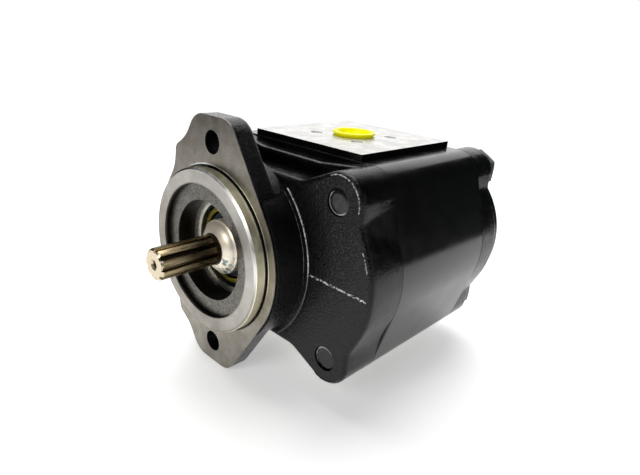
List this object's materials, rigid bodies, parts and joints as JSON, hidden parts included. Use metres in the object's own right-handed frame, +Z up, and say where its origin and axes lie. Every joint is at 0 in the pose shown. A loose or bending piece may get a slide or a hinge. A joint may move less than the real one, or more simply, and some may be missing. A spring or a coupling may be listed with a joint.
{
  "type": "hydraulic gear pump",
  "caption": "External gear pump: splined drive shaft and two-bolt pilot flange at one end, bolted black cast case, bare port pads top and bottom with yellow dust plugs.",
  "frame": {"origin": "where the drive shaft's axis crosses the mounting face", "axes": "+Y back along the drive shaft from the mounting face, +X from the drive gear to the driven gear, +Z up to the top port"},
  "size_m": [0.1348, 0.1715, 0.1304],
  "materials": {
    "black_casting": "gloss",
    "black_housing": "satin",
    "ground_steel": "satin",
    "aluminium_block": "satin",
    "bronze_bush": "satin",
    "seal_plastic": "matte",
    "seal_rubber": "matte",
    "seal_steel": "satin",
    "brass_ring": "satin",
    "painted_bolt": "gloss",
    "yellow_plastic": "satin"
  },
  "bodies": {
    "case": {"shaft_end_cover": "black_casting", "gear_housing": "black_housing", "rear_cover": "black_casting", "front_bearing_block": "aluminium_block", "rear_bearing_block": "aluminium_block", "front_drive_bush": "bronze_bush", "front_driven_bush": "bronze_bush", "rear_drive_bush": "bronze_bush", "rear_driven_bush": "bronze_bush", "front_seal_backup": "seal_plastic", "rear_seal_backup": "seal_plastic", "front_block_seal": "seal_rubber", "rear_block_seal": "seal_rubber", "shaft_seal_case": "seal_steel", "shaft_seal_lip": "seal_rubber", "shaft_seal_spring": "seal_steel", "seal_support_ring": "brass_ring", "retaining_ring": "seal_steel", "front_housing_seal": "seal_rubber", "rear_housing_seal": "seal_rubber", "front_dowels": "ground_steel", "rear_dowels": "ground_steel", "case_bolts": "painted_bolt", "bolt_washers": "painted_bolt"},
    "drive_shaft": {"drive_gear_shaft": "ground_steel"},
    "driven_gear": {"driven_gear_shaft": "ground_steel"},
    "top_plug": {"top_port_plug": "yellow_plastic"},
    "bottom_plug": {"bottom_port_plug": "yellow_plastic"}
  },
  "joints": [
    {"name": "drive_spin", "type": "hinge", "parent": "case", "child": "drive_shaft", "pos_m": [0, 0, 0], "axis": [0, 1, 0], "continuous": true},
    {"name": "driven_spin", "type": "hinge", "parent": "case", "child": "driven_gear", "pos_m": [0.04, 0, 0], "axis": [0, 1, 0], "continuous": true},
    {"name": "top_plug_pull", "type": "slide", "parent": "case", "child": "top_plug", "axis": [0, 0, 1], "range_m": [0, 0.03]},
    {"name": "bottom_plug_pull", "type": "slide", "parent": "case", "child": "bottom_plug", "axis": [0, 0, -1], "range_m": [0, 0.03]}
  ],
  "couplings": [
    {"joint": "driven_spin", "follows": "drive_spin", "ratio": -1}
  ]
}
